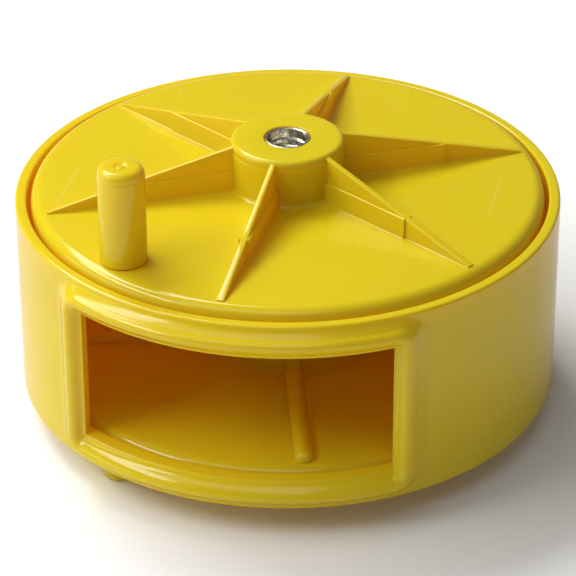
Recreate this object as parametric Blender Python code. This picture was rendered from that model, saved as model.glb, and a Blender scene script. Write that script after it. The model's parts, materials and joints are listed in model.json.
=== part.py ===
"""Tie wire reel: a moulded drum worn on a belt, from which a coil of soft wire is pulled through a side window.

The drum axis is vertical. The coil sits on the spool's core, between the spool's flange and the star disc. The
star disc unscrews from the axle bolt to load a coil, and its knob winds the wire back in.

Run with: blender --background --python part.py
Lengths are in millimetres until a mesh is built, where they become metres. Angles are azimuths in degrees about
the drum axis, 0 towards the window (-Y) and positive towards +X. Heights are above the drum's flat underside.
"""

import math

import bmesh
import bpy
from mathutils import Matrix, Vector

MM = 0.001
GAP = 0.3                     # clearance between neighbouring pieces
FINE = 72                     # sides of the large turned pieces
COARSE = 28                   # sides of the small turned pieces
ARC_STEPS = 3                 # facets in a rounded corner of an outline

# Drum
DRUM_R = 89.0
DRUM_WALL = 3.7
DRUM_H = 66.3
FLOOR_T = 3.0
CUP_R = 17.0                  # central cup that hides the bolt head from below
CUP_H = 16.0
CUP_WALL = 3.0
BUSH_HOLE_R = 8.5
BUSH_FLANGE_R = 11.0
BUSH_FLANGE_T = 1.5

# Window in the drum wall, measured square on from the front
WINDOW_HALF_W = 49.5
WINDOW_SILL = 11.0
WINDOW_LINTEL = 55.5
FRAME_W = 8.8                 # width of the raised bead around the window
FRAME_PROUD = 4.2
FRAME_LEDGE = 1.0             # narrow ledge between the opening and the bead's slope
FRAME_CREST = 5.3

# Star disc
DISC_R = 83.9
DISC_TOP = 68.75
DISC_T = 3.0
DISC_SKIRT = 9.0
DISC_EDGE = 3.9               # rounding of the rim, which starts where the arms end
HUB_R = 18.4
HUB_TOP = 85.1
STAR_PHASE = -2.5             # azimuth of the first arm
STAR_ARMS = 6
STAR_TIP_R = 80.1
ARM_T = 2.4
ARM_ROOT_DROP = 0.9           # an arm's top edge meets the hub this far below the hub's top
ARM_TIP_RISE = 0.5            # and still stands this far above the disc at its tip
WEB_T = 3.8
WEB_H = 7.0
CLAMP_R = 25.5                # ring under the disc that presses on the core
CLAMP_WALL = 3.0
SLEEVE_R = 11.0               # sleeve in the hub around the insert

# Threaded insert and axle bolt
INSERT_R = 7.4
INSERT_L = 31.0
THREAD_R = 5.4                # crest radius of the insert's thread above the bolt
BOLT_R = 6.0
BOLT_TOP = 73.0
BOLT_HEAD_Z = 1.2
BOLT_HEAD_H = 7.5
HEX_R = 10.97                 # corner radius of a 19 mm hexagon
WASHER_R = 12.0
WASHER_T = 1.6
NUT_H = 10.0

# Knob
KNOB_R = 7.5
KNOB_H = 33.0
KNOB_ORBIT = 72.5
KNOB_AZ = -32.5
KNOB_SPIGOT_R = 4.5

# Spool: flange, core and grip ribs in one moulding
FLANGE_R = 83.5
FLANGE_TOP = 11.0
FLANGE_EDGE = 3.5
FLANGE_BOTTOM = 7.8
FLANGE_RIM_BOTTOM = 6.8
CORE_R = 25.8
CORE_WALL = 3.0
CORE_TOP = 48.0
CORE_WEB_Z = 19.2
CORE_WEB_T = 3.0
RIB_R = 3.1                   # round ribs, nearly half sunk in the flange
RIB_H = 3.4
RIB_END_R = 80.0
CORE_RIB_R = 2.6              # their upright stretches on the core
CORE_RIB_PROUD = 2.5
CORE_RIB_TOP = 46.5
RIB_AZ = 16.0
RIB_COUNT = 4

# Belt loops under the drum
LOOP_AZ = 57.0                # the loops face each other across this diameter
LOOP_OFFSET = 69.8            # drum axis to the middle of a loop's bar
LOOP_HALF_SPAN = 31.5         # middle of the bar to the middle of a post
LOOP_DEPTH = 9.0
LOOP_BAR_T = 3.4
POST_R = 5.7
POST_FLARE_R = 10.4
LOOP_SCREW_R = 2.0
LOOP_SCREW_END = -5.0

# The bead makes the front deeper than the back, so the axis moves back to keep the box centred on the origin.
AXIS_Y = FRAME_PROUD / 2


def clear_scene():
    for obj in list(bpy.data.objects):
        bpy.data.objects.remove(obj, do_unlink=True)


def make_material(name, colour, roughness, metallic=0.0):
    material = bpy.data.materials.new(name)
    material.use_nodes = True
    shader = material.node_tree.nodes["Principled BSDF"]
    shader.inputs["Base Color"].default_value = (*colour, 1.0)
    shader.inputs["Roughness"].default_value = roughness
    shader.inputs["Metallic"].default_value = metallic
    return material


def polar(radius, azimuth, z=0.0):
    """Point at an azimuth about the drum axis, in millimetres."""
    angle = math.radians(azimuth)
    return Vector((radius * math.sin(angle), -radius * math.cos(angle), z))


def rounded(corners, steps=ARC_STEPS):
    """Closed outline from (u, v) or (u, v, fillet radius) corners, each fillet as an arc."""
    outline = []
    count = len(corners)
    for i, corner in enumerate(corners):
        here = Vector(corner[:2])
        fillet = corner[2] if len(corner) > 2 else 0.0
        if not fillet:
            outline.append(here)
            continue
        back = (Vector(corners[i - 1][:2]) - here).normalized()
        ahead = (Vector(corners[(i + 1) % count][:2]) - here).normalized()
        half = math.acos(max(-1.0, min(1.0, back.dot(ahead)))) / 2
        centre = here + (back + ahead).normalized() * (fillet / math.sin(half))
        start = here + back * (fillet / math.tan(half)) - centre
        end = here + ahead * (fillet / math.tan(half)) - centre
        sweep = start.angle_signed(end)
        for step in range(steps + 1):
            turn = -sweep * step / steps
            outline.append(centre + Matrix.Rotation(turn, 2) @ start)
    return outline


def lathe(outline, sides):
    """Solid turned about Z from a closed (r, z) outline."""
    bm = bmesh.new()
    rings = []
    for r, z in outline:
        if r < 1e-6:
            rings.append([bm.verts.new((0.0, 0.0, z * MM))])
            continue
        ring = []
        for i in range(sides):
            angle = 2 * math.pi * i / sides
            ring.append(bm.verts.new((r * MM * math.cos(angle), r * MM * math.sin(angle), z * MM)))
        rings.append(ring)
    for upper, lower in zip(rings, rings[1:] + rings[:1]):
        if len(upper) == 1 and len(lower) == 1:
            continue
        for i in range(sides):
            j = (i + 1) % sides
            corners = [upper[i % len(upper)], upper[j % len(upper)], lower[j % len(lower)], lower[i % len(lower)]]
            bm.faces.new(list(dict.fromkeys(corners)))
    bmesh.ops.recalc_face_normals(bm, faces=bm.faces)
    return bm


def prism(outline, low, high):
    """Solid with a closed (x, y) outline between two heights."""
    bm = bmesh.new()
    base = bm.faces.new([bm.verts.new((x * MM, y * MM, low * MM)) for x, y in outline])
    top = bmesh.ops.extrude_face_region(bm, geom=[base])["geom"]
    moved = [v for v in top if isinstance(v, bmesh.types.BMVert)]
    bmesh.ops.translate(bm, verts=moved, vec=(0.0, 0.0, (high - low) * MM))
    bmesh.ops.recalc_face_normals(bm, faces=bm.faces)
    return bm


def join_meshes(pieces):
    """One bmesh that holds copies of separate, placed pieces: (bmesh, matrix) pairs."""
    joined = bmesh.new()
    for bm, matrix in pieces:
        bm.transform(matrix)
        mesh = bpy.data.meshes.new("piece")
        bm.to_mesh(mesh)
        bm.free()
        joined.from_mesh(mesh)
        bpy.data.meshes.remove(mesh)
    return joined


def add_object(name, bm, material, parent, location=(0.0, 0.0, 0.0), azimuth=0.0):
    """Named object from a bmesh, placed in millimetres in its parent's frame."""
    mesh = bpy.data.meshes.new(name)
    bm.to_mesh(mesh)
    bm.free()
    mesh.shade_smooth()
    mesh.set_sharp_from_angle(angle=math.radians(35))
    mesh.materials.append(material)
    obj = bpy.data.objects.new(name, mesh)
    obj.parent = parent
    obj.location = Vector(location) * MM
    obj.rotation_euler.z = math.radians(azimuth)
    bpy.context.collection.objects.link(obj)
    return obj


def add_empty(name, location, parent=None):
    empty = bpy.data.objects.new(name, None)
    empty.parent = parent
    empty.location = Vector(location) * MM
    empty.empty_display_size = 0.02
    bpy.context.collection.objects.link(empty)
    return empty


def combine(target, name, bm, operation, location=(0.0, 0.0, 0.0)):
    """Cut or join a hidden solid, given in the target's own frame."""
    mesh = bpy.data.meshes.new(name)
    bm.to_mesh(mesh)
    bm.free()
    tool = bpy.data.objects.new(name, mesh)
    tool.parent = target
    tool.location = Vector(location) * MM
    tool.hide_render = True
    tool.display_type = "WIRE"
    bpy.context.collection.objects.link(tool)
    modifier = target.modifiers.new(name, "BOOLEAN")
    modifier.operation = operation
    modifier.solver = "EXACT"
    modifier.object = tool


def rod(radius, low, high, sides=COARSE):
    return lathe([(0.0, high), (radius, high), (radius, low), (0.0, low)], sides)


def tube(inner, outer, low, high, edge=0.0, sides=COARSE):
    """Washer or bush: a ring with optionally rounded outer edges."""
    return lathe(rounded([(inner, high), (outer, high, edge), (outer, low, edge), (inner, low)], 2), sides)


def hexagon(low, high):
    corners = [(HEX_R * math.cos(math.radians(60 * i)), HEX_R * math.sin(math.radians(60 * i))) for i in range(6)]
    return prism(corners, low, high)


def facing(azimuth):
    """Turn a piece that was made along +Y or +X so that its +X points out at an azimuth."""
    return Matrix.Rotation(math.radians(azimuth - 90), 4, "Z")


def stand_on_edge():
    """Turn a prism made in XY so that it stands in XZ, centred on its thickness."""
    return Matrix.Rotation(math.radians(90), 4, "X")


# Window -------------------------------------------------------------------------------------------------------------

def window_outline(grow, corner, side_steps):
    """Closed rounded rectangle (x, z) around the window, grown outwards, with points along its long sides."""
    half_w = WINDOW_HALF_W + grow
    half_h = (WINDOW_LINTEL - WINDOW_SILL) / 2 + grow
    middle = (WINDOW_LINTEL + WINDOW_SILL) / 2
    points = []
    for sign_x, sign_z in ((1, 1), (-1, 1), (-1, -1), (1, -1)):
        centre = Vector((sign_x * (half_w - corner), middle + sign_z * (half_h - corner)))
        first = {(1, 1): 0, (-1, 1): 90, (-1, -1): 180, (1, -1): 270}[sign_x, sign_z]
        for step in range(ARC_STEPS + 1):
            angle = math.radians(first + 90 * step / ARC_STEPS)
            points.append(centre + corner * Vector((math.cos(angle), math.sin(angle))))
        if sign_x == sign_z:
            run = 2 * (half_w - corner)
            for step in range(1, side_steps):
                points.append(points[-1] + Vector((-sign_x * run / side_steps, 0.0)))
    return points


def window_bead():
    """Raised bead: a rounded section carried round the window and wrapped on the drum wall."""
    section = rounded([
        (-0.6, -1.6),
        (-0.6, 0.5),
        (FRAME_LEDGE, 0.8),
        (FRAME_CREST, FRAME_PROUD + 0.68, 1.2),
        (7.7, 0.8, 1.2),
        (FRAME_W, 0.15),
        (FRAME_W, -1.6),
    ])
    bm = bmesh.new()
    rings = []
    for grow, height in section:
        ring = []
        corner = 1.6 + 0.6 * max(grow, 0.0)
        for x, z in window_outline(grow, corner, 16):
            radius = DRUM_R + height
            ring.append(bm.verts.new((x * MM, -math.sqrt(radius ** 2 - x ** 2) * MM, z * MM)))
        rings.append(ring)
    count = len(rings[0])
    for inner, outer in zip(rings, rings[1:] + rings[:1]):
        for i in range(count):
            j = (i + 1) % count
            bm.faces.new((inner[i], inner[j], outer[j], outer[i]))
    bmesh.ops.recalc_face_normals(bm, faces=bm.faces)
    return bm


def window_cutter():
    """Block through the wall, with its sides square to the front."""
    half_w = WINDOW_HALF_W
    corners = [
        (-half_w, WINDOW_SILL, 1.2),
        (half_w, WINDOW_SILL, 1.2),
        (half_w, WINDOW_LINTEL, 1.2),
        (-half_w, WINDOW_LINTEL, 1.2),
    ]
    block = prism(rounded(corners, 2), 60.0, 100.0)
    block.transform(stand_on_edge())
    return block


# Pieces of the drum -------------------------------------------------------------------------------------------------

def loop_post_centres():
    """Where the four belt loop posts stand."""
    centres = []
    for turn in (0, 180):
        for side in (-1, 1):
            out = polar(LOOP_OFFSET, turn - LOOP_AZ)
            along = polar(side * LOOP_HALF_SPAN, turn - LOOP_AZ + 90)
            centres.append((out.x + along.x, out.y + along.y))
    return centres


def make_casing(material, parent):
    inner = DRUM_R - DRUM_WALL
    outline = rounded([
        (DRUM_R, DRUM_H, 1.0),
        (DRUM_R, 0.0, 1.0),
        (CUP_R - CUP_WALL, 0.0),
        (CUP_R - CUP_WALL, CUP_H - CUP_WALL),
        (BUSH_HOLE_R, CUP_H - CUP_WALL),
        (BUSH_HOLE_R, CUP_H),
        (CUP_R, CUP_H),
        (CUP_R, FLOOR_T),
        (inner, FLOOR_T, 1.0),
        (inner, DRUM_H, 0.8),
    ], 2)
    casing = add_object("drum_casing", lathe(outline, FINE), material, parent)
    combine(casing, "window_bead_tool", window_bead(), "UNION")
    combine(casing, "window_cutter", window_cutter(), "DIFFERENCE")
    for number, (x, y) in enumerate(loop_post_centres(), 1):
        hole_r = LOOP_SCREW_R + GAP
        sink = lathe([(0.0, 4.0), (6.2, 4.0), (hole_r, 0.9), (hole_r, -1.0), (0.0, -1.0)], 20)
        combine(casing, f"screw_hole_{number}", sink, "DIFFERENCE", (x, y, 0.0))
    return casing


def make_belt_loop(name, azimuth, material, parent):
    """Bar on two flared posts. The belt passes between the bar and the drum's underside."""
    bar_top = -LOOP_DEPTH + LOOP_BAR_T
    hole_r = LOOP_SCREW_R + GAP
    post = [
        (0.0, -LOOP_DEPTH),
        (POST_R - 0.9, -LOOP_DEPTH),
        (POST_R, -LOOP_DEPTH + 0.9),
        (POST_R, -LOOP_DEPTH + 3.8),
        (POST_FLARE_R - 1.6, -1.6),
        (POST_FLARE_R, -GAP),
        (hole_r, -GAP),
        (hole_r, LOOP_SCREW_END - GAP),
        (0.0, LOOP_SCREW_END - GAP),
    ]
    half_w = POST_R - 0.5
    bar = prism(
        [(-half_w, -LOOP_HALF_SPAN), (half_w, -LOOP_HALF_SPAN), (half_w, LOOP_HALF_SPAN), (-half_w, LOOP_HALF_SPAN)],
        -LOOP_DEPTH, bar_top)
    loop = add_object(name, bar, material, parent, polar(LOOP_OFFSET, azimuth), azimuth - 90)
    for number, side in enumerate((-1, 1), 1):
        combine(loop, f"{name}_post_{number}", lathe(post, COARSE), "UNION", (0.0, side * LOOP_HALF_SPAN, 0.0))
    return loop


def make_loop_screws(material, parent):
    head_top = FLOOR_T - 0.1
    outline = [
        (0.0, head_top),
        (3.8, head_top),
        (LOOP_SCREW_R, 1.1),
        (LOOP_SCREW_R, LOOP_SCREW_END),
        (0.0, LOOP_SCREW_END),
    ]
    for number, (x, y) in enumerate(loop_post_centres(), 1):
        add_object(f"belt_loop_screw_{number}", lathe(outline, 16), material, parent, (x, y, 0.0))


def make_bush(material, parent):
    """Flanged bush in the top of the cup: the spool's bearing."""
    bore = BOLT_R + GAP
    outline = [
        (bore, CUP_H + GAP + BUSH_FLANGE_T),
        (BUSH_FLANGE_R, CUP_H + GAP + BUSH_FLANGE_T),
        (BUSH_FLANGE_R, CUP_H + GAP),
        (BUSH_HOLE_R - GAP, CUP_H + GAP),
        (BUSH_HOLE_R - GAP, CUP_H - CUP_WALL + GAP),
        (bore, CUP_H - CUP_WALL + GAP),
    ]
    return add_object("bearing_bush", lathe(outline, COARSE), material, parent)


# Pieces that turn with the spool ------------------------------------------------------------------------------------

def make_spool(material, parent):
    outline = rounded([
        (CORE_R, CORE_TOP, 0.8),
        (CORE_R, FLANGE_TOP, 1.2),
        (FLANGE_R, FLANGE_TOP, FLANGE_EDGE),
        (FLANGE_R, FLANGE_RIM_BOTTOM),
        (FLANGE_R - 2.5, FLANGE_RIM_BOTTOM),
        (FLANGE_R - 2.5, FLANGE_BOTTOM),
        (CORE_R - CORE_WALL, FLANGE_BOTTOM),
        (CORE_R - CORE_WALL, CORE_WEB_Z),
        (BOLT_R + GAP, CORE_WEB_Z),
        (BOLT_R + GAP, CORE_WEB_Z + CORE_WEB_T),
        (CORE_R - CORE_WALL, CORE_WEB_Z + CORE_WEB_T),
        (CORE_R - CORE_WALL, CORE_TOP),
    ])
    spool = add_object("spool", lathe(outline, FINE), material, parent, azimuth=RIB_AZ)
    combine(spool, "flange_ribs_tool", flange_ribs(), "UNION")
    combine(spool, "core_ribs_tool", core_ribs(), "UNION")
    return spool


def flange_ribs():
    """Round-ended ribs that run out along the flange."""
    outline = rounded([
        (0.0, RIB_END_R),
        (RIB_R, RIB_END_R, 0.95 * RIB_R),
        (RIB_R, CORE_R - 1.5),
        (0.0, CORE_R - 1.5),
    ])
    height = FLANGE_TOP + RIB_H - RIB_R
    lay = Matrix.Translation((0.0, 0.0, height * MM)) @ Matrix.Rotation(math.radians(90), 4, "Y")
    turns = [facing(360 * index / RIB_COUNT) for index in range(RIB_COUNT)]
    return join_meshes([(lathe(outline, 16), turn @ lay) for turn in turns])


def core_ribs():
    """The same ribs carried up the core, where they keep the coil from slipping round."""
    outline = rounded([
        (0.0, CORE_RIB_TOP),
        (CORE_RIB_R, CORE_RIB_TOP, 0.95 * CORE_RIB_R),
        (CORE_RIB_R, FLANGE_TOP - 1.5),
        (0.0, FLANGE_TOP - 1.5),
    ])
    stand = Matrix.Translation(((CORE_R + CORE_RIB_PROUD - CORE_RIB_R) * MM, 0.0, 0.0))
    turns = [facing(360 * index / RIB_COUNT) for index in range(RIB_COUNT)]
    return join_meshes([(lathe(outline, 16), turn @ stand) for turn in turns])


def make_axle(material, parent):
    shank = rod(BOLT_R, BOLT_HEAD_Z + BOLT_HEAD_H - 1.0, BOLT_TOP)
    bolt = add_object("axle_bolt", shank, material, parent)
    combine(bolt, "bolt_head_tool", hexagon(BOLT_HEAD_Z, BOLT_HEAD_Z + BOLT_HEAD_H), "UNION")
    return bolt


def make_lock_nut(material, parent, low, high):
    nut = add_object("lock_nut", hexagon(low, high), material, parent)
    combine(nut, "lock_nut_bore", rod(BOLT_R + GAP, low - 1.0, high + 1.0), "DIFFERENCE")
    return nut


def make_drag_spring(material, parent, low):
    """Wave washer: a thin ring with three gentle waves."""
    inner, outer, thick, wave, sides = BOLT_R + 1.0, 11.4, 0.7, 0.45, 48
    bm = bmesh.new()
    rings = []
    for radius, height in ((outer, thick), (outer, 0.0), (inner, 0.0), (inner, thick)):
        ring = []
        for i in range(sides):
            angle = 2 * math.pi * i / sides
            z = low + wave + height + wave * math.sin(3 * angle)
            ring.append(bm.verts.new((radius * MM * math.cos(angle), radius * MM * math.sin(angle), z * MM)))
        rings.append(ring)
    for upper, lower in zip(rings, rings[1:] + rings[:1]):
        for i in range(sides):
            j = (i + 1) % sides
            bm.faces.new((upper[i], upper[j], lower[j], lower[i]))
    bmesh.ops.recalc_face_normals(bm, faces=bm.faces)
    return add_object("drag_spring", bm, material, parent)


# Star disc and knob -------------------------------------------------------------------------------------------------

def arm_top(radius):
    """Height of an arm's sloping top edge at a radius."""
    inner_z, tip_z = HUB_TOP - ARM_ROOT_DROP, DISC_TOP + ARM_TIP_RISE
    return inner_z + (tip_z - inner_z) * (radius - HUB_R) / (STAR_TIP_R - HUB_R)


def star_arms(thickness, outline):
    """The same upright plate repeated at every arm, as separate solids."""
    pieces = []
    for index in range(STAR_ARMS):
        plate = prism(outline, -thickness / 2, thickness / 2)
        pieces.append((plate, facing(STAR_PHASE + 360 * index / STAR_ARMS) @ stand_on_edge()))
    return join_meshes(pieces)


def make_star_disc(material, parent):
    underside = DISC_TOP - DISC_T
    skirt_end = DISC_TOP - DISC_SKIRT
    bore = INSERT_R + GAP
    cavity_r = HUB_R - 3.0
    sleeve_end = HUB_TOP - INSERT_L - 1.0
    clamp_end = CORE_TOP + GAP
    outline = rounded([
        (bore, HUB_TOP),
        (HUB_R, HUB_TOP, 1.6),
        (HUB_R, DISC_TOP, 1.0),
        (DISC_R, DISC_TOP, DISC_EDGE),
        (DISC_R, skirt_end),
        (DISC_R - 2.5, skirt_end),
        (DISC_R - 2.5, underside),
        (CLAMP_R, underside),
        (CLAMP_R, clamp_end),
        (CLAMP_R - CLAMP_WALL, clamp_end),
        (CLAMP_R - CLAMP_WALL, underside),
        (cavity_r, underside),
        (cavity_r, HUB_TOP - 3.0),
        (SLEEVE_R, HUB_TOP - 3.0),
        (SLEEVE_R, sleeve_end),
        (bore, sleeve_end),
    ])
    disc = add_object("star_disc", lathe(outline, FINE), material, parent)
    root_r, buried = HUB_R - 1.9, DISC_TOP - 1.0
    web_top = DISC_TOP + WEB_H
    web_end = HUB_R + (STAR_TIP_R - HUB_R) * (arm_top(HUB_R) - web_top) / (arm_top(HUB_R) - arm_top(STAR_TIP_R))
    gusset = [(root_r, buried), (STAR_TIP_R, buried), (STAR_TIP_R, arm_top(STAR_TIP_R)), (root_r, arm_top(root_r))]
    web = [(root_r, buried), (web_end, buried), (web_end, web_top), (root_r, web_top)]
    combine(disc, "star_gussets_tool", star_arms(ARM_T, gusset), "UNION")
    combine(disc, "star_webs_tool", star_arms(WEB_T, web), "UNION")
    hole = rod(KNOB_SPIGOT_R + GAP, underside - 2.0, DISC_TOP + 2.0)
    combine(disc, "knob_hole", hole, "DIFFERENCE", polar(KNOB_ORBIT, KNOB_AZ))
    return disc


def make_insert(material, parent):
    """Threaded metal insert in the hub. The bore steps out where the axle bolt fills the thread."""
    top = HUB_TOP - 0.2
    bottom = HUB_TOP - INSERT_L
    running = BOLT_R + GAP
    outline = [
        (THREAD_R + 1.1, top),
        (INSERT_R, top),
        (INSERT_R, bottom),
        (running, bottom),
        (running, BOLT_TOP + 1.0),
        (THREAD_R, BOLT_TOP + 1.9),
        (THREAD_R, top - 1.1),
    ]
    return add_object("threaded_insert", lathe(outline, 36), material, parent)


def make_knob(plastic, steel, parent):
    """Knob, screw and washer, with the origin on the knob's axis at the disc's top face."""
    hole_r = LOOP_SCREW_R + GAP
    spigot_end = -DISC_T - 0.4
    outline = rounded([
        (0.0, KNOB_H),
        (KNOB_R, KNOB_H, 2.4),
        (KNOB_R, GAP, 0.5),
        (KNOB_SPIGOT_R, GAP),
        (KNOB_SPIGOT_R, spigot_end),
        (hole_r, spigot_end),
        (hole_r, 17.0),
        (0.0, 17.0),
    ])
    add_object("winding_knob", lathe(outline, 40), plastic, parent)
    washer_top = spigot_end - GAP
    washer_end = washer_top - 1.2
    add_object("knob_washer", tube(hole_r, 6.5, washer_end, washer_top), steel, parent)
    head_top = washer_end - GAP
    screw = rounded([
        (0.0, 16.0),
        (LOOP_SCREW_R, 16.0),
        (LOOP_SCREW_R, head_top),
        (4.0, head_top),
        (4.0, head_top - 2.4, 1.2),
        (0.0, head_top - 2.4),
    ])
    add_object("knob_screw", lathe(screw, 20), steel, parent)


def main():
    clear_scene()
    yellow = make_material("yellow_plastic", (0.82, 0.60, 0.02), 0.22)
    zinc = make_material("zinc_plated_steel", (0.62, 0.63, 0.64), 0.32, 1.0)
    spring_steel = make_material("spring_steel", (0.35, 0.35, 0.37), 0.35, 1.0)
    brass = make_material("brass_insert", (0.72, 0.66, 0.48), 0.25, 1.0)
    nylon = make_material("nylon", (0.80, 0.79, 0.74), 0.45)

    axis = add_empty("reel_axis", (0.0, AXIS_Y, LOOP_DEPTH))
    make_casing(yellow, axis)
    make_belt_loop("belt_loop_left", -LOOP_AZ, yellow, axis)
    make_belt_loop("belt_loop_right", 180.0 - LOOP_AZ, yellow, axis)
    make_loop_screws(zinc, axis)
    make_bush(nylon, axis)

    bore = BOLT_R + GAP
    head_top = BOLT_HEAD_Z + BOLT_HEAD_H
    make_axle(zinc, axis)
    add_object("head_washer", tube(bore, WASHER_R, head_top + GAP, head_top + GAP + WASHER_T), zinc, axis)
    make_drag_spring(spring_steel, axis, head_top + WASHER_T + 2 * GAP)
    thrust_low = CUP_H + BUSH_FLANGE_T + 2 * GAP
    add_object("thrust_washer", tube(bore, WASHER_R, thrust_low, CORE_WEB_Z - GAP), nylon, axis)
    make_spool(yellow, axis)
    web_top = CORE_WEB_Z + CORE_WEB_T
    add_object("nut_washer", tube(bore, WASHER_R, web_top + GAP, web_top + GAP + WASHER_T), zinc, axis)
    nut_low = web_top + WASHER_T + 2 * GAP
    make_lock_nut(zinc, axis, nut_low, nut_low + NUT_H)

    make_star_disc(yellow, axis)
    make_insert(brass, axis)
    knob_axis = add_empty("knob_axis", polar(KNOB_ORBIT, KNOB_AZ, DISC_TOP), axis)
    make_knob(yellow, zinc, knob_axis)


main()
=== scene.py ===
"""Looks of the tie wire reel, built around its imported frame.

Shapes are worked out in millimetres in the reel's own frame: the drum's axis is vertical, heights are
above the drum's flat underside, azimuth 0 points out through the window (-Y) and grows towards +X.
place() turns them into metres in the row frame.
"""

import json
import math

import bmesh
import bpy
from mathutils import Matrix, Vector


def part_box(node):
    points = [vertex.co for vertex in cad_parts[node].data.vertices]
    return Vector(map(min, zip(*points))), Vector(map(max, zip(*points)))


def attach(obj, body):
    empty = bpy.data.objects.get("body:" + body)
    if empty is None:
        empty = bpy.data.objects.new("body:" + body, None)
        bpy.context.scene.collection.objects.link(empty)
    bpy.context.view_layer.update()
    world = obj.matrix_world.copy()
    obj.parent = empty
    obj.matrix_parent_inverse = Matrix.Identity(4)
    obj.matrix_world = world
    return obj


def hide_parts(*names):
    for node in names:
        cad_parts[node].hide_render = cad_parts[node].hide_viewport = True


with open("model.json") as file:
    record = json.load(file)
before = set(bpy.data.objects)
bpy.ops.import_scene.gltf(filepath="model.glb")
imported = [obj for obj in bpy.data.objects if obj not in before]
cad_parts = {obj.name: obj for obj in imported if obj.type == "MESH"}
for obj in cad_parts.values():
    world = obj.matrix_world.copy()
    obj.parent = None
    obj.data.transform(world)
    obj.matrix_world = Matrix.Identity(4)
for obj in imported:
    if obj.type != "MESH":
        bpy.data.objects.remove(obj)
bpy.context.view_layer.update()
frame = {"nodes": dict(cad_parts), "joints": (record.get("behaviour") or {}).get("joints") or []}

MM = 0.001
AXIS = Vector(next(j for j in frame["joints"] if j["name"] == "spool_spin")["pos_m"])
KNOB_AXIS = Vector(next(j for j in frame["joints"] if j["name"] == "knob_spin")["pos_m"])
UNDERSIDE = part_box("drum_casing")[0].z

# Drum and window
DRUM_R = 89.0
DRUM_H = 66.3
INNER_R = 85.3
FLOOR_T = 3.0
CUP_R = 17.0
CUP_INNER_R = 14.0
CUP_H = 16.0
CUP_TOP_T = 3.0
BUSH_HOLE_R = 8.5
WINDOW_HALF_W = 49.5
SILL = 11.0
LINTEL = 55.5
BEAD_PROUD = 4.2
BEAD_LEDGE = 0.8              # height of the ledge between the opening and the bead's inner slope
BEAD_LEDGE_W = 1.0
BEAD_CREST = 5.3              # opening's edge to the bead's highest line
# Stretches outwards from the crest: steepness at both ends, and the radius of a bend or the drop of a slope
BEAD_OUTSIDE = (
    (0, 45, 1.2), (45, 45, 0.5), (45, 62, 1.0), (62, 62, 0.9), (62, 45, 1.0), (45, 45, 1.4), (45, 0, 1.9),
)
BEAD_CORNER = 2.5             # power that rounds the bead's corners: 2 is a circle
WRAP_R = 81.3                 # below this radius the wall's columns keep their angles
WALL_EDGE = 1.0
RIM_INNER_EDGE = 0.8
FRONT_END = 61.0              # the wall's columns follow x up to here, and angles beyond
WINDOW_COLUMNS = 36
WINDOW_ROWS = 8
BACK_COLUMNS = 150

# Spool
FLANGE_R = 83.5
FLANGE_TOP = 11.0
FLANGE_EDGE = 3.5
FLANGE_RIM_T = 2.5
FLANGE_BOTTOM = 7.8
RIM_BOTTOM = 6.8
CORE_R = 25.8
CORE_INNER_R = 22.8
CORE_TOP = 48.0
WEB_Z = 19.2
WEB_T = 3.0
RIB_R = 3.1
RIB_RISE = 0.3                # rib's axis above the flange
RIB_END_R = 80.0
CORE_RIB_R = 2.6
CORE_RIB_AXIS = 25.7
CORE_RIB_TOP = 46.5
RIB_AZ = 16.0
RIBS = 4

# Star disc
DISC_R = 83.9
DISC_TOP = 68.75
DISC_T = 3.0
DISC_SKIRT = 9.0
SKIRT_T = 2.5
DISC_EDGE = 3.9
HUB_R = 18.4
HUB_TOP = 85.1
CLAMP_R = 25.5
CLAMP_INNER_R = 22.5
SLEEVE_R = 11.0
STAR_PHASE = -2.5
ARMS = 6
TIP_R = 80.1
ARM_T = 2.4
ARM_ROOT_DROP = 0.9           # an arm meets the hub this far below the hub's top
ARM_TIP_RISE = 0.5            # and still stands this far above the disc at its tip
WEB_WIDTH = 3.8
WEB_H = 7.0

# Insert, bolt and knob
INSERT_R = 7.4
INSERT_L = 31.0
THREAD_R = 5.4
THREAD_PITCH = 1.95
THREAD_DEPTH = 0.7
COUNTERBORE_R = 6.5
BOLT_R = 6.0
BOLT_TOP = 73.0
BOLT_THREAD_END = 52.0
BOLT_HEAD_Z = 1.2
BOLT_HEAD_H = 7.5
HEX_R = 10.97
KNOB_R = 7.5
KNOB_H = 33.0
SPIGOT_R = 4.5
GAP = 0.3
ROUND_SIDES = 256
RIDGE = 0.12                  # faint step around the hub and the knob, below their top edges

# Belt loops
LOOP_AZ = 57.0
LOOP_OFFSET = 69.8
LOOP_HALF_SPAN = 31.5
LOOP_DEPTH = 9.0
LOOP_BAR_T = 3.4
POST_R = 5.7
POST_FLARE_R = 10.4
SCREW_R = 2.0
SCREW_END = -5.0

# Camera, in degrees and metres; its target is this far above the drum's underside
CAMERA_AZ = 12.417
CAMERA_EL = 30.14
CAMERA_ROLL = -0.205
CAMERA_DISTANCE = 1.0049
CAMERA_TARGET = 0.02847
CAMERA_LENS = 188.44

# Looks and light. Lights have a name, azimuth, elevation, distance, width and height in metres, and watts.
PLASTIC_TRANSLUCENCY = 0.35
LIGHTS = (
    ("key", -128.0, 53.0, 2.0, 1.20, 0.90, 34.0),
    ("left_softbox", -70.0, 42.0, 1.6, 1.40, 0.30, 13.0),
    ("low_left", -72.0, 14.0, 2.0, 1.60, 0.60, 6.0),
    ("front", -15.0, 62.0, 2.2, 1.80, 0.90, 8.5),
)
WORLD = 0.14
FLOOR_GLOW = 0.02
LIGHT_TARGET = 0.04           # metres above the drum's underside
FLOOR_RADIUS = 9.0
DIFFUSE_BOUNCES = 12          # enough to light the inside of the drum
MAX_BOUNCES = 16


# Camera ---------------------------------------------------------------------------------------

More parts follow.
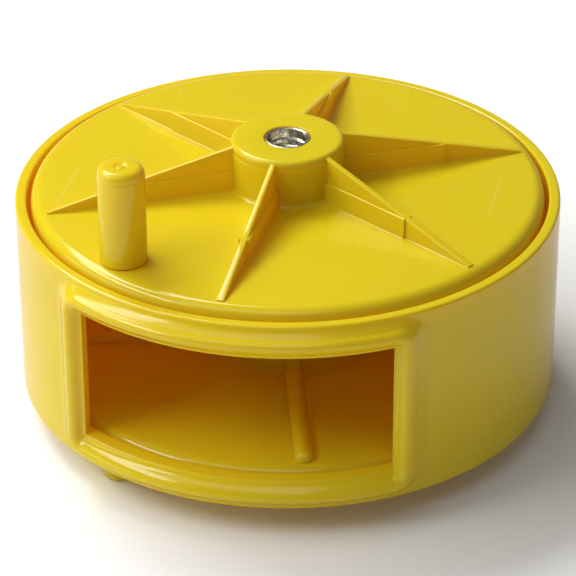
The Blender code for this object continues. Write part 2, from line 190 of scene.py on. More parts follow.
def make_camera():
    """Looks down at the reel's axis from a little to the right of its window."""
    target = Vector((AXIS.x, AXIS.y, UNDERSIDE + CAMERA_TARGET))
    outward = direction(CAMERA_AZ, CAMERA_EL)
    data = bpy.data.cameras.new("camera")
    data.sensor_width = 36.0
    data.lens = CAMERA_LENS
    data.clip_start = 0.05
    data.clip_end = 50.0
    camera = bpy.data.objects.new("camera", data)
    look = (-outward).to_track_quat("-Z", "Y").to_matrix().to_4x4()
    roll = Matrix.Rotation(math.radians(CAMERA_ROLL), 4, "Z")
    camera.matrix_world = Matrix.Translation(target + outward * CAMERA_DISTANCE) @ look @ roll
    bpy.context.scene.collection.objects.link(camera)
    bpy.context.scene.camera = camera


# Mesh helpers ---------------------------------------------------------------------------------

def polar(radius, azimuth):
    angle = math.radians(azimuth)
    return Vector((radius * math.sin(angle), -radius * math.cos(angle), 0.0))


def facing(azimuth):
    """Turns +X out towards an azimuth."""
    return Matrix.Rotation(math.radians(azimuth - 90), 4, "Z")


def rounded(corners, step=12.0):
    """Closed outline from (u, v) or (u, v, fillet radius) corners. Fillets go in steps of so many degrees."""
    outline = []
    count = len(corners)
    for i, corner in enumerate(corners):
        here = Vector(corner[:2])
        fillet = corner[2] if len(corner) > 2 else 0.0
        if not fillet:
            outline.append(here)
            continue
        back = (Vector(corners[i - 1][:2]) - here).normalized()
        ahead = (Vector(corners[(i + 1) % count][:2]) - here).normalized()
        half = math.acos(max(-1.0, min(1.0, back.dot(ahead)))) / 2
        centre = here + (back + ahead).normalized() * (fillet / math.sin(half))
        start = here + back * (fillet / math.tan(half)) - centre
        end = here + ahead * (fillet / math.tan(half)) - centre
        sweep = start.angle_signed(end)
        steps = max(2, round(abs(math.degrees(sweep)) / step))
        outline += [centre + Matrix.Rotation(-sweep * k / steps, 2) @ start for k in range(steps + 1)]
    return outline


def loft(bm, rings, close_rings=True):
    """Quads between rings of the same length, or of one point. close_rings joins the last to the first."""
    pairs = list(zip(rings, rings[1:]))
    if close_rings:
        pairs.append((rings[-1], rings[0]))
    for upper, lower in pairs:
        count = max(len(upper), len(lower))
        if count == 1:
            continue
        for i in range(count):
            j = (i + 1) % count
            corners = [upper[i % len(upper)], upper[j % len(upper)]]
            corners += [lower[j % len(lower)], lower[i % len(lower)]]
            bm.faces.new(list(dict.fromkeys(corners)))


def circle(bm, radius, z, sides):
    """Ring of vertices about Z, or one vertex on the axis."""
    if radius < 1e-6:
        return [bm.verts.new((0.0, 0.0, z))]
    angles = [2 * math.pi * i / sides for i in range(sides)]
    return [bm.verts.new((radius * math.cos(a), radius * math.sin(a), z)) for a in angles]


def turned(outline, sides):
    """Solid turned about Z from a closed (r, z) outline."""
    bm = bmesh.new()
    loft(bm, [circle(bm, r, z, sides) for r, z in outline])
    bmesh.ops.recalc_face_normals(bm, faces=bm.faces)
    return bm


def lofted(sections):
    """Solid through closed sections of the same number of points, capped at both ends."""
    bm = bmesh.new()
    rings = [[bm.verts.new(point) for point in section] for section in sections]
    loft(bm, rings, close_rings=False)
    bm.faces.new(rings[0])
    bm.faces.new(rings[-1])
    bmesh.ops.recalc_face_normals(bm, faces=bm.faces)
    return bm


def to_mesh(bm, name):
    mesh = bpy.data.meshes.new(name)
    bm.to_mesh(mesh)
    bm.free()
    return mesh


def gather(pieces):
    """One bmesh holding copies of separate solids: (bmesh, matrix) pairs."""
    joined = bmesh.new()
    for bm, matrix in pieces:
        bm.transform(matrix)
        mesh = to_mesh(bm, "piece")
        joined.from_mesh(mesh)
        bpy.data.meshes.remove(mesh)
    return joined


def combine(bm, tools):
    """The solid after a list of exact Booleans: (operation, tool bmesh) pairs, all in the same frame."""
    body = bpy.data.objects.new("body", to_mesh(bm, "body"))
    bpy.context.scene.collection.objects.link(body)
    helpers = []
    for operation, tool_bm in tools:
        tool = bpy.data.objects.new("tool", to_mesh(tool_bm, "tool"))
        bpy.context.scene.collection.objects.link(tool)
        helpers.append(tool)
        modifier = body.modifiers.new("cut", "BOOLEAN")
        modifier.operation = operation
        modifier.solver = "EXACT"
        modifier.object = tool
    evaluated = body.evaluated_get(bpy.context.evaluated_depsgraph_get())
    result = bmesh.new()
    result.from_mesh(evaluated.to_mesh())
    evaluated.to_mesh_clear()
    for obj in [body, *helpers]:
        mesh = obj.data
        bpy.data.objects.remove(obj)
        bpy.data.meshes.remove(mesh)
    bmesh.ops.remove_doubles(result, verts=result.verts, dist=0.001)
    bmesh.ops.dissolve_degenerate(result, edges=result.edges, dist=0.001)
    return result


def place(name, bm, material, body, nodes, origin=None, azimuth=0.0, crease=32.0):
    """Object from a bmesh in millimetres, riding on a body and standing for CAD nodes."""
    origin = origin or Vector((AXIS.x, AXIS.y, UNDERSIDE))
    spot = Matrix.Translation(origin) @ Matrix.Rotation(math.radians(azimuth), 4, "Z") @ Matrix.Scale(MM, 4)
    bm.transform(spot)
    mesh = to_mesh(bm, name)
    mesh.shade_smooth()
    mesh.set_sharp_from_angle(angle=math.radians(crease))
    mesh.materials.append(material)
    obj = bpy.data.objects.new(name, mesh)
    bpy.context.scene.collection.objects.link(obj)
    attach(obj, body)
    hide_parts(*nodes)
    return obj


# Drum casing ----------------------------------------------------------------------------------

def bead_section():
    """(distance from the opening's edge, height) points across the bead: ledge, inner slope, crest,
    stepped outer slope and the hollow that runs out into the wall."""
    lip = ((0.0, 0.5), (0.12, 0.22), (0.35, 0.05), (0.6, 0.0))
    points = [(d, BEAD_LEDGE - drop) for d, drop in lip]
    slope_steps, bend_steps = 8, 3
    for step in range(1, slope_steps + 1):
        along = step / slope_steps
        rise = (BEAD_PROUD - BEAD_LEDGE) * math.sin(math.radians(90 * along))
        points.append((BEAD_LEDGE_W + (BEAD_CREST - BEAD_LEDGE_W) * along, BEAD_LEDGE + rise))
    for start, end, size in BEAD_OUTSIDE:
        d, h = points[-1]
        if start == end:
            points.append((d + size / math.tan(math.radians(start)), h - size))
            continue
        first, last = math.radians(start), math.radians(end)
        for step in range(1, bend_steps + 1):
            angle = first + (last - first) * step / bend_steps
            across = abs(math.sin(angle) - math.sin(first))
            down = abs(math.cos(angle) - math.cos(first))
            points.append((d + size * across, h - size * down))
    return points


def bead_height(x, z, section):
    """How far the wall stands out at a point, from its distance to the opening."""
    dx = max(abs(x) - WINDOW_HALF_W, 0.0)
    dz = max(SILL - z, z - LINTEL, 0.0)
    d = (dx ** BEAD_CORNER + dz ** BEAD_CORNER) ** (1 / BEAD_CORNER)
    for (d0, h0), (d1, h1) in zip(section, section[1:]):
        if d <= d1:
            return h0 + (h1 - h0) * max(d - d0, 0.0) / (d1 - d0)
    return 0.0


def spread(low, high, count):
    """Evenly spaced values strictly between two ends."""
    return [low + (high - low) * (i + 1) / (count + 1) for i in range(count)]


def make_casing(material):
    section = bead_section()
    steps = [d for d, _ in section]
    right = [WINDOW_HALF_W + d for d in steps] + [FRONT_END]
    columns = [-x for x in reversed(right)] + spread(-WINDOW_HALF_W, WINDOW_HALF_W, WINDOW_COLUMNS) + right
    edge, least = WALL_EDGE, 0.05
    below = [SILL - d for d in reversed(steps) if SILL - d > edge + least]
    above = [LINTEL + d for d in steps if LINTEL + d < DRUM_H - edge - least]
    heights = [edge] + below + spread(SILL, LINTEL, WINDOW_ROWS) + above + [DRUM_H - edge]

    def ring(radius, z, with_bead=False):
        points = []
        for x in columns:
            r = radius + (bead_height(x, z, section) if with_bead else 0.0)
            angle = math.asin(x / max(r, WRAP_R))
            points.append((r * math.sin(angle), -r * math.cos(angle), z))
        start = math.asin(FRONT_END / max(radius, WRAP_R))
        for i in range(1, BACK_COLUMNS):
            angle = start + (2 * math.pi - 2 * start) * i / BACK_COLUMNS
            points.append((radius * math.sin(angle), -radius * math.cos(angle), z))
        return points

    inner_edge, floor_edge = RIM_INNER_EDGE, WALL_EDGE
    rim = [(DRUM_R, 0.0), (DRUM_R, DRUM_H, edge), (INNER_R, DRUM_H, inner_edge), (INNER_R, 0.0)]
    rim = rounded(rim)[2:-2]
    below_wall = rounded([
        (INNER_R, DRUM_H),
        (INNER_R, FLOOR_T, floor_edge),
        (CUP_R, FLOOR_T, 1.0),
        (CUP_R, CUP_H, 0.8),
        (BUSH_HOLE_R, CUP_H),
        (BUSH_HOLE_R, CUP_H - CUP_TOP_T),
        (CUP_INNER_R, CUP_H - CUP_TOP_T, 0.8),
        (CUP_INNER_R, 0.0, 0.6),
        (DRUM_R, 0.0, edge),
        (DRUM_R, DRUM_H),
    ])[1:-2]
    lowest, highest = FLOOR_T + floor_edge + least, DRUM_H - inner_edge - least
    inner_heights = [z for z in reversed(heights) if lowest < z < highest]

    bm = bmesh.new()
    outer = [[bm.verts.new(p) for p in ring(DRUM_R, z, True)] for z in heights]
    top = [[bm.verts.new(p) for p in ring(r, z)] for r, z in rim]
    inner = [[bm.verts.new(p) for p in ring(INNER_R, z)] for z in inner_heights]
    rest = [[bm.verts.new(p) for p in ring(r, z)] for r, z in below_wall]
    rings = outer + top + inner + rest
    loft(bm, rings)

    first, last = columns.index(-WINDOW_HALF_W), columns.index(WINDOW_HALF_W)
    opening = []
    for face in bm.faces:
        centre = face.calc_center_median()
        if abs(centre.x) < WINDOW_HALF_W and centre.y < 0 and SILL < centre.z < LINTEL:
            if math.hypot(centre.x, centre.y) > WRAP_R:
                opening.append(face)
    bmesh.ops.delete(bm, geom=opening, context="FACES")

    low, high = heights.index(SILL), heights.index(LINTEL)
    inner_low, inner_high = inner_heights.index(SILL), inner_heights.index(LINTEL)
    outer_loop = [outer[low][i] for i in range(first, last)]
    outer_loop += [outer[j][last] for j in range(low, high)]
    outer_loop += [outer[high][i] for i in range(last, first, -1)]
    outer_loop += [outer[j][first] for j in range(high, low, -1)]
    inner_loop = [inner[inner_low][i] for i in range(first, last)]
    inner_loop += [inner[j][last] for j in range(inner_low, inner_high, -1)]
    inner_loop += [inner[inner_high][i] for i in range(last, first, -1)]
    inner_loop += [inner[j][first] for j in range(inner_high, inner_low)]
    count = len(outer_loop)
    for i in range(count):
        j = (i + 1) % count
        bm.faces.new((outer_loop[i], outer_loop[j], inner_loop[j], inner_loop[i]))
    bmesh.ops.delete(bm, geom=[v for v in bm.verts if not v.link_faces], context="VERTS")
    bmesh.ops.recalc_face_normals(bm, faces=bm.faces)

    holes = []
    for x, y in post_centres():
        hole_r = SCREW_R + GAP
        sink = turned([(0.0, 4.0), (6.2, 4.0), (hole_r, 0.9), (hole_r, -1.0), (0.0, -1.0)], 32)
        holes.append((sink, Matrix.Translation((x, y, 0.0))))
    bm = combine(bm, [("DIFFERENCE", gather(holes))])
    return place("casing_shell", bm, material, "casing", ["drum_casing"])


def post_centres():
    centres = []
    for turn in (0, 180):
        out = polar(LOOP_OFFSET, turn - LOOP_AZ)
        for side in (-1, 1):
            along = polar(side * LOOP_HALF_SPAN, turn - LOOP_AZ + 90)
            centres.append((out.x + along.x, out.y + along.y))
    return centres


# Belt loops -----------------------------------------------------------------------------------

def make_belt_loop(name, azimuth, material):
    hole_r = SCREW_R + GAP
    post = rounded([
        (0.0, -LOOP_DEPTH),
        (POST_R, -LOOP_DEPTH, 1.0),
        (POST_R, -LOOP_DEPTH + 4.4, 3.0),
        (POST_FLARE_R, -1.2, 0.5),
        (POST_FLARE_R, -GAP),
        (hole_r, -GAP),
        (hole_r, SCREW_END - GAP),
        (0.0, SCREW_END - GAP),
    ])
    half_w, half_t = POST_R - 0.5, LOOP_BAR_T / 2
    section = rounded([(u * half_w, v * half_t, 1.0) for u, v in ((-1, -1), (1, -1), (1, 1), (-1, 1))])
    middle = -LOOP_DEPTH + half_t
    ends = (-LOOP_HALF_SPAN, LOOP_HALF_SPAN)
    bar = lofted([[(u, y, middle + v) for u, v in section] for y in ends])
    posts = [(turned(post, 64), Matrix.Translation((0.0, y, 0.0))) for y in ends]
    bm = combine(bar, [("UNION", gather(posts))])
    bm.transform(Matrix.Translation(polar(LOOP_OFFSET, azimuth)) @ facing(azimuth))
    return place(name + "_moulding", bm, material, "casing", [name])


# Spool ----------------------------------------------------------------------------------------

def make_spool(material):
    outline = rounded([
        (CORE_R, CORE_TOP, 0.8),
        (CORE_R, FLANGE_TOP, 1.6),
        (FLANGE_R, FLANGE_TOP, FLANGE_EDGE),
        (FLANGE_R, RIM_BOTTOM, 0.3),
        (FLANGE_R - FLANGE_RIM_T, RIM_BOTTOM, 0.3),
        (FLANGE_R - FLANGE_RIM_T, FLANGE_BOTTOM),
        (CORE_INNER_R, FLANGE_BOTTOM, 0.8),
        (CORE_INNER_R, WEB_Z),
        (BOLT_R + GAP, WEB_Z),
        (BOLT_R + GAP, WEB_Z + WEB_T),
        (CORE_INNER_R, WEB_Z + WEB_T, 1.0),
        (CORE_INNER_R, CORE_TOP, 0.8),
    ])
    lying = rounded([
        (0.0, RIB_END_R),
        (RIB_R, RIB_END_R, 0.98 * RIB_R),
        (RIB_R, CORE_R - 1.5),
        (0.0, CORE_R - 1.5),
    ], 9.0)
    upright = rounded([
        (0.0, CORE_RIB_TOP),
        (CORE_RIB_R, CORE_RIB_TOP, 0.98 * CORE_RIB_R),
        (CORE_RIB_R, FLANGE_TOP - 1.5),
        (0.0, FLANGE_TOP - 1.5),
    ], 9.0)
    lay = Matrix.Translation((0.0, 0.0, FLANGE_TOP + RIB_RISE)) @ Matrix.Rotation(math.radians(90), 4, "Y")
    stand = Matrix.Translation((CORE_RIB_AXIS, 0.0, 0.0))
    turns = [facing(360 * i / RIBS) for i in range(RIBS)]
    flange_ribs = gather([(turned(lying, 48), turn @ lay) for turn in turns])
    core_ribs = gather([(turned(upright, 48), turn @ stand) for turn in turns])
    bm = combine(turned(outline, ROUND_SIDES), [("UNION", flange_ribs), ("UNION", core_ribs)])
    return place("spool_moulding", bm, material, "spool", ["spool"], azimuth=RIB_AZ)


# Star disc ------------------------------------------------------------------------------------

def arm_top(radius):
    inner_z, tip_z = HUB_TOP - ARM_ROOT_DROP, DISC_TOP + ARM_TIP_RISE
    return inner_z + (tip_z - inner_z) * (radius - HUB_R) / (TIP_R - HUB_R)


def arm_section(half_t, height, edge, base_fillet):
    """(across, up) outline of an arm: rounded top edges, slight draft and a fillet at the foot."""
    edge = min(edge, 0.45 * height)
    fillet = min(base_fillet, 0.4 * height)
    top_half = half_t - 0.02 * height
    side = []
    for step in range(5):
        angle = math.radians(90 * step / 4)
        side.append((half_t + fillet * (1 - math.sin(angle)), fillet * (1 - math.cos(angle)) - 0.04))
    for step in range(5):
        angle = math.radians(90 * step / 4)
        side.append((top_half - edge * (1 - math.cos(angle)), height - edge * (1 - math.sin(angle))))
    foot = half_t + fillet
    return [(foot, -1.0)] + side + [(-u, v) for u, v in reversed(side)] + [(-foot, -1.0)]


def arm_solid(half_t, radii, height_at, edge, base_fillet):
    sections = []
    for radius in radii:
        outline = arm_section(half_t, height_at(radius), edge, base_fillet)
        sections.append([(radius, u, DISC_TOP + v) for u, v in outline])
    return lofted(sections)


def make_star_disc(material):
    underside, skirt_end = DISC_TOP - DISC_T, DISC_TOP - DISC_SKIRT
    bore, cavity_r = INSERT_R + GAP, HUB_R - 3.0
    sleeve_end = HUB_TOP - INSERT_L - 1.0
    clamp_end = CORE_TOP + GAP
    outline = rounded([
        (bore, HUB_TOP, 0.3),
        (HUB_R, HUB_TOP, 1.6),
        (HUB_R, HUB_TOP - 3.2),
        (HUB_R + RIDGE, HUB_TOP - 3.4, 0.25),
        (HUB_R + RIDGE, HUB_TOP - 5.0),
        (HUB_R, DISC_TOP, 1.5),
        (DISC_R, DISC_TOP, DISC_EDGE),
        (DISC_R, skirt_end, 0.4),
        (DISC_R - SKIRT_T, skirt_end, 0.4),
        (DISC_R - SKIRT_T, underside, 0.6),
        (CLAMP_R, underside, 0.6),
        (CLAMP_R, clamp_end, 0.4),
        (CLAMP_INNER_R, clamp_end, 0.4),
        (CLAMP_INNER_R, underside),
        (cavity_r, underside),
        (cavity_r, HUB_TOP - 3.0, 0.8),
        (SLEEVE_R, HUB_TOP - 3.0, 0.8),
        (SLEEVE_R, sleeve_end),
        (bore, sleeve_end),
    ], 7.5)
    root_r = HUB_R - 1.9
    web_top = DISC_TOP + WEB_H
    web_end = HUB_R + (TIP_R - HUB_R) * (arm_top(HUB_R) - web_top) / (arm_top(HUB_R) - arm_top(TIP_R))
    arm_radii = [root_r] + spread(root_r, TIP_R, 5) + [TIP_R]
    tops, webs = [], []
    for index in range(ARMS):
        turn = facing(STAR_PHASE + 360 * index / ARMS)
        tops.append((arm_solid(ARM_T / 2, arm_radii, lambda r: arm_top(r) - DISC_TOP, 0.45, 0.7), turn))
        webs.append((arm_solid(WEB_WIDTH / 2, [root_r, web_end], lambda r: WEB_H, 0.35, 0.6), turn))
    hole_r, hole_top, hole_end = SPIGOT_R + GAP, DISC_TOP + 2, DISC_TOP - DISC_SKIRT
    hole = turned([(0.0, hole_top), (hole_r, hole_top), (hole_r, hole_end), (0.0, hole_end)], 64)
    knob_spot = Vector(((KNOB_AXIS.x - AXIS.x) / MM, (KNOB_AXIS.y - AXIS.y) / MM, 0.0))
    hole.transform(Matrix.Translation(knob_spot))
    steps = [("UNION", gather(tops)), ("UNION", gather(webs)), ("DIFFERENCE", hole)]
    bm = combine(turned(outline, ROUND_SIDES), steps)
    return place("star_disc_moulding", bm, material, "disc", ["star_disc"], crease=28.0)


# Threads --------------------------------------------------------------------------------------

def threaded_rings(bm, radius, depth, start, end, sides):
    """Rings of a helical thread between two heights. Its crests fade out at both ends."""
    rows = max(2, round(abs(end - start) / THREAD_PITCH * 8))
    rings = []
    for row in range(rows + 1):
        z = start + (end - start) * row / rows
        fade = min(1.0, row / 6, (rows - row) / 6)
        ring = []
        for i in range(sides):
            turn = i / sides
            phase = (z / THREAD_PITCH - turn) % 1.0
            wave = 1 - abs(2 * phase - 1)
            r = radius + depth * fade * (min(max(1.6 * wave - 0.3, 0.0), 1.0) - 0.5)
            ring.append(bm.verts.new((r * math.cos(2 * math.pi * turn), r * math.sin(2 * math.pi * turn), z)))
        rings.append(ring)
    return rings


def make_insert(material):
    """Insert with a smooth counterbore above its thread. Below the bolt's end the bore clears the bolt."""
    sides = 96
    top, bottom = HUB_TOP - 0.2, HUB_TOP - INSERT_L
    running = BOLT_R + GAP
    bm = bmesh.new()
    outside = rounded([
        (running, bottom),
        (INSERT_R, bottom, 0.4),
        (INSERT_R, top, 0.35),
        (COUNTERBORE_R, top, 0.45),
        (COUNTERBORE_R - 0.15, top - 3.2, 0.2),
        (THREAD_R + 0.35, top - 3.6, 0.15),
        (THREAD_R + 0.25, top - 4.0),
    ], 7.5)
    thread = threaded_rings(bm, THREAD_R + 0.15, THREAD_DEPTH, top - 4.2, BOLT_TOP + 1.7, sides)
    rings = [circle(bm, r, z, sides) for r, z in outside] + thread
    loft(bm, rings + [circle(bm, running, BOLT_TOP + 1.0, sides)])
    bmesh.ops.recalc_face_normals(bm, faces=bm.faces)
    return place("insert_metal", bm, material, "insert", ["threaded_insert"], crease=40.0)


def make_bolt(material):
    sides = 72
    head_top = BOLT_HEAD_Z + BOLT_HEAD_H
    bm = bmesh.new()
    pitch_r = BOLT_R - THREAD_DEPTH / 2
    end = [(0.0, BOLT_TOP), (BOLT_R - 1.0, BOLT_TOP), (pitch_r, BOLT_TOP - 0.8)]
    end = [circle(bm, r, z, sides) for r, z in end]
    thread = threaded_rings(bm, pitch_r, THREAD_DEPTH, BOLT_TOP - 1.0, BOLT_THREAD_END, sides)
    shank = [(BOLT_R, BOLT_THREAD_END - 1.0), (BOLT_R, head_top - 1.0), (0.0, head_top - 1.0)]
    loft(bm, end + thread + [circle(bm, r, z, sides) for r, z in shank], close_rings=False)
    bmesh.ops.recalc_face_normals(bm, faces=bm.faces)
    hexagon = [polar(HEX_R, 90 + 60 * i) for i in range(6)]
    head = lofted([[(x, y, z) for x, y, _ in hexagon] for z in (BOLT_HEAD_Z, head_top)])
    flat_r = HEX_R * math.cos(math.radians(30))
    chamfer = turned([
        (0.0, BOLT_HEAD_Z - 0.1),
        (flat_r - 0.6, BOLT_HEAD_Z - 0.1),
        (HEX_R + 0.5, BOLT_HEAD_Z + 1.3),
        (HEX_R + 0.5, head_top + 0.1),
        (0.0, head_top + 0.1),
    ], 96)
    head = combine(head, [("INTERSECT", chamfer)])
    bm = combine(head, [("UNION", bm)])
    return place("axle_bolt_detailed", bm, material, "spool", ["axle_bolt"], crease=30.0)


def make_knob(material):
    hole_r, spigot_end = SCREW_R + GAP, -DISC_T - 0.4
    outline = rounded([
        (0.0, KNOB_H - 0.15),
        (0.9, KNOB_H - 0.15, 0.2),
        (1.5, KNOB_H - 0.45, 0.3),
        (2.4, KNOB_H, 0.8),
        (KNOB_R - RIDGE, KNOB_H, 2.45),
        (KNOB_R - RIDGE, KNOB_H - 3.4),
        (KNOB_R, KNOB_H - 3.6, 0.25),
        (KNOB_R, GAP, 0.5),
        (SPIGOT_R, GAP),
        (SPIGOT_R, spigot_end, 0.3),
        (hole_r, spigot_end),
        (hole_r, 17.0),
        (0.0, 17.0),
    ], 7.5)
    bm = turned(outline, 96)
    spot = Vector((KNOB_AXIS.x, KNOB_AXIS.y, UNDERSIDE + DISC_TOP * MM))
    return place("knob_moulding", bm, material, "knob", ["winding_knob"], origin=spot)


# Materials ------------------------------------------------------------------------------------

class Nodes:
    """Short way to write a material's node tree."""

    def __init__(self, name):
        self.material = bpy.data.materials.new(name)
        self.material.use_nodes = True
        self.tree = self.material.node_tree
        self.shader = self.tree.nodes["Principled BSDF"]
        self.coords = self.add("ShaderNodeTexCoord").outputs["Object"]

    def add(self, kind, **settings):
        node = self.tree.nodes.new(kind)
        for key, value in settings.items():
            setattr(node, key, value)
        return node

    def link(self, source, target):
        self.tree.links.new(source, target)

    def noise(self, scale, detail=3.0, roughness=0.5, stretch=(1.0, 1.0, 1.0), turn=(0.0, 0.0, 0.0)):
        mapping = self.add("ShaderNodeMapping")
        mapping.inputs["Scale"].default_value = stretch
        mapping.inputs["Rotation"].default_value = turn
        self.link(self.coords, mapping.inputs["Vector"])
        texture = self.add("ShaderNodeTexNoise")
        texture.inputs["Scale"].default_value = scale
        texture.inputs["Detail"].default_value = detail
        texture.inputs["Roughness"].default_value = roughness
        self.link(mapping.outputs["Vector"], texture.inputs["Vector"])
        return texture.outputs["Fac"]

    def remap(self, value, low, high, to_low, to_high):
        node = self.add("ShaderNodeMapRange")
        for key, number in (("From Min", low), ("From Max", high), ("To Min", to_low), ("To Max", to_high)):
            node.inputs[key].default_value = number
        self.link(value, node.inputs["Value"])
        return node.outputs["Result"]

    def mix(self, factor, first, second):
        node = self.add("ShaderNodeMix", data_type="RGBA")
        self.link(factor, node.inputs["Factor"])
        for socket, value in ((node.inputs["A"], first), (node.inputs["B"], second)):
            self.feed(socket, value)
        return node.outputs["Result"]

    def feed(self, socket, value):
        if isinstance(value, bpy.types.NodeSocket):
            self.link(value, socket)
        elif isinstance(value, tuple) and len(value) == 3:
            socket.default_value = (*value, 1.0)
        else:
            socket.default_value = value

    def maths(self, operation, first, second):
        node = self.add("ShaderNodeMath", operation=operation)
        for socket, value in zip(node.inputs, (first, second)):
            self.feed(socket, value)
        return node.outputs["Value"]

    def bump(self, height, distance, strength=1.0, normal=None):
        node = self.add("ShaderNodeBump")
        node.inputs["Strength"].default_value = strength
        node.inputs["Distance"].default_value = distance
        self.link(height, node.inputs["Height"])
        if normal is not None:
            self.link(normal, node.inputs["Normal"])
        return node.outputs["Normal"]

    def scratches(self, scale, turn, threshold):
        """Fine lines: the crests of a stretched noise."""
        lines = self.noise(scale, 2.0, 0.5, stretch=(1.0, 0.03, 1.0), turn=turn)
        return self.remap(lines, threshold, threshold + 0.03, 0.0, 1.0)


def plastic(name, colour, deep, pale, through, roughness):
    """Glossy injection-moulded plastic that lets some light through: flow marks, a faint orange peel,
    hairline scratches and dull scuffs."""
    n = Nodes(name)
    flow = n.noise(14.0, 4.0, 0.55, stretch=(1.0, 1.0, 2.0))
    tint = n.mix(n.remap(flow, 0.35, 0.65, 0.0, 1.0), colour, deep)
    scuffs = n.remap(n.noise(160.0, 6.0, 0.7), 0.60, 0.75, 0.0, 0.35)
    first = n.scratches(420.0, (0.0, 0.0, 0.5), 0.70)
    second = n.scratches(360.0, (0.2, 0.0, -0.9), 0.71)
    marks = n.maths("MAXIMUM", first, second)
    worn = n.maths("MULTIPLY", n.maths("MAXIMUM", scuffs, marks), n.remap(n.noise(30.0), 0.45, 0.6, 0.0, 1.0))
    n.link(n.mix(n.maths("MULTIPLY", worn, 0.35), tint, pale), n.shader.inputs["Base Color"])
    dull = n.maths("ADD", n.remap(n.noise(45.0, 4.0, 0.6), 0.3, 0.7, roughness - 0.03, roughness + 0.05),
                   n.maths("MULTIPLY", worn, 0.18))
    n.link(dull, n.shader.inputs["Roughness"])
    waves = n.bump(n.noise(55.0, 2.0, 0.4), 0.00035, 0.35)
    peel = n.bump(n.noise(900.0, 2.0, 0.5), 0.00002, 0.35, waves)
    n.link(n.bump(marks, 0.00003, 0.25, peel), n.shader.inputs["Normal"])
    n.shader.inputs["IOR"].default_value = 1.5
    glow = n.add("ShaderNodeBsdfTranslucent")
    glow.inputs["Color"].default_value = (*through, 1.0)
    blend = n.add("ShaderNodeMixShader")
    blend.inputs["Fac"].default_value = PLASTIC_TRANSLUCENCY
    n.link(n.shader.outputs["BSDF"], blend.inputs[1])
    n.link(glow.outputs["BSDF"], blend.inputs[2])
    n.link(blend.outputs["Shader"], n.tree.nodes["Material Output"].inputs["Surface"])
    return n.material


def metal(name, colour, dark, roughness, brush):
    """Plated or turned metal: fine brushing, cloudy plating and small dark spots."""
    n = Nodes(name)
    cloud = n.noise(220.0, 5.0, 0.6)
    spots = n.remap(n.noise(900.0, 3.0, 0.6), 0.62, 0.72, 0.0, 0.6)
    tint = n.mix(n.remap(cloud, 0.35, 0.7, 0.0, 0.7), colour, dark)
    n.link(n.mix(spots, tint, dark), n.shader.inputs["Base Color"])
    n.link(n.remap(cloud, 0.3, 0.7, roughness - 0.06, roughness + 0.1), n.shader.inputs["Roughness"])
    lines = n.noise(1500.0, 2.0, 0.5, stretch=brush)
    n.link(n.bump(lines, 0.00002, 0.4), n.shader.inputs["Normal"])
    n.shader.inputs["Metallic"].default_value = 1.0
    return n.material


def nylon(name, colour, shade):
    n = Nodes(name)
    cloud = n.remap(n.noise(90.0, 4.0, 0.6), 0.3, 0.7, 0.0, 1.0)
    n.link(n.mix(cloud, colour, shade), n.shader.inputs["Base Color"])
    n.link(n.remap(n.noise(300.0), 0.3, 0.7, 0.38, 0.52), n.shader.inputs["Roughness"])
    n.link(n.bump(n.noise(1200.0), 0.00002, 0.4), n.shader.inputs["Normal"])
    n.shader.inputs["Subsurface Weight"].default_value = 0.2
    n.shader.inputs["Subsurface Radius"].default_value = (1.0, 0.9, 0.7)
    n.shader.inputs["Subsurface Scale"].default_value = 0.002
    return n.material


def floor_paper(name):
    n = Nodes(name)
    tint = n.mix(n.noise(3.0, 3.0, 0.5), (0.86, 0.86, 0.86), (0.88, 0.88, 0.88))
    n.link(tint, n.shader.inputs["Base Color"])
    n.shader.inputs["Roughness"].default_value = 0.9
    n.shader.inputs["Specular IOR Level"].default_value = 0.1
    n.shader.inputs["Emission Color"].default_value = (1.0, 1.0, 1.0, 1.0)
    n.shader.inputs["Emission Strength"].default_value = FLOOR_GLOW
    return n.material


def dress(node, material):
    """Gives a CAD node that stays a detailed material."""
    obj = frame["nodes"][node]
    for slot in obj.material_slots:
        slot.material = material
    obj.data.shade_smooth()
    obj.data.set_sharp_from_angle(angle=math.radians(30))


# Stage ----------------------------------------------------------------------------------------

def direction(azimuth, elevation):
    """Unit vector out to an azimuth, measured like the reel's, and an elevation."""
    a, e = math.radians(azimuth), math.radians(elevation)
    return Vector((math.sin(a) * math.cos(e), -math.cos(a) * math.cos(e), math.sin(e)))


def softbox(name, azimuth, elevation, distance, width, height, power):
    data = bpy.data.lights.new(name, "AREA")
    data.shape = "RECTANGLE"
    data.size = width
    data.size_y = height
    data.energy = power
    light = bpy.data.objects.new(name, data)
    aim = direction(azimuth, elevation)
    spot = Vector((AXIS.x, AXIS.y, UNDERSIDE + LIGHT_TARGET)) + aim * distance
    light.matrix_world = Matrix.Translation(spot) @ aim.to_track_quat("Z", "Y").to_matrix().to_4x4()
    bpy.context.scene.collection.objects.link(light)


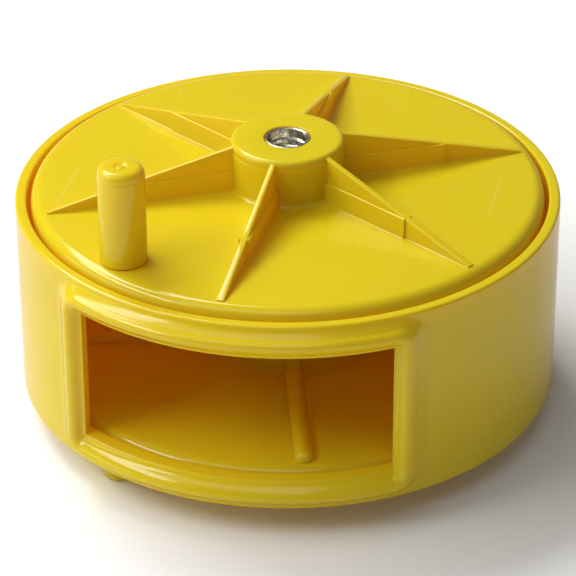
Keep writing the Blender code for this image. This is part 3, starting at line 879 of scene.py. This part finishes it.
def make_stage():
    bm = bmesh.new()
    bmesh.ops.create_circle(bm, cap_ends=True, segments=96, radius=FLOOR_RADIUS)
    bm.transform(Matrix.Translation((0.0, 0.0, -0.0002)))
    floor = bpy.data.objects.new("floor", to_mesh(bm, "floor"))
    floor.data.materials.append(floor_paper("floor_paper"))
    bpy.context.scene.collection.objects.link(floor)

    world = bpy.data.worlds.new("studio")
    world.use_nodes = True
    world.node_tree.nodes["Background"].inputs["Color"].default_value = (1.0, 1.0, 1.0, 1.0)
    world.node_tree.nodes["Background"].inputs["Strength"].default_value = WORLD
    bpy.context.scene.world = world
    bpy.context.scene.view_settings.view_transform = "Standard"
    bpy.context.scene.cycles.diffuse_bounces = DIFFUSE_BOUNCES
    bpy.context.scene.cycles.max_bounces = MAX_BOUNCES

    for name, azimuth, elevation, distance, width, height, power in LIGHTS:
        softbox(name, azimuth, elevation, distance, width, height, power)


# Build ----------------------------------------------------------------------------------------

make_camera()
yellow = plastic("yellow_plastic", (0.88, 0.79, 0.018), (0.86, 0.76, 0.016), (0.90, 0.81, 0.12),
                 (0.90, 0.42, 0.03), 0.11)
zinc = metal("zinc_plate", (0.66, 0.67, 0.69), (0.42, 0.43, 0.45), 0.28, (1.0, 1.0, 0.05))
spring_steel = metal("spring_steel", (0.36, 0.36, 0.38), (0.20, 0.20, 0.21), 0.34, (1.0, 1.0, 0.05))
insert_plate = metal("insert_plate", (0.74, 0.71, 0.60), (0.50, 0.46, 0.34), 0.22, (1.0, 1.0, 0.05))
natural_nylon = nylon("natural_nylon", (0.80, 0.79, 0.74), (0.74, 0.72, 0.65))

make_casing(yellow)
make_belt_loop("belt_loop_left", -LOOP_AZ, yellow)
make_belt_loop("belt_loop_right", 180.0 - LOOP_AZ, yellow)
make_spool(yellow)
make_star_disc(yellow)
make_insert(insert_plate)
make_bolt(zinc)
make_knob(yellow)

for number in (1, 2, 3, 4):
    dress(f"belt_loop_screw_{number}", zinc)
for node in ("head_washer", "nut_washer", "lock_nut", "knob_washer", "knob_screw"):
    dress(node, zinc)
dress("drag_spring", spring_steel)
dress("bearing_bush", natural_nylon)
dress("thrust_washer", natural_nylon)

make_stage()
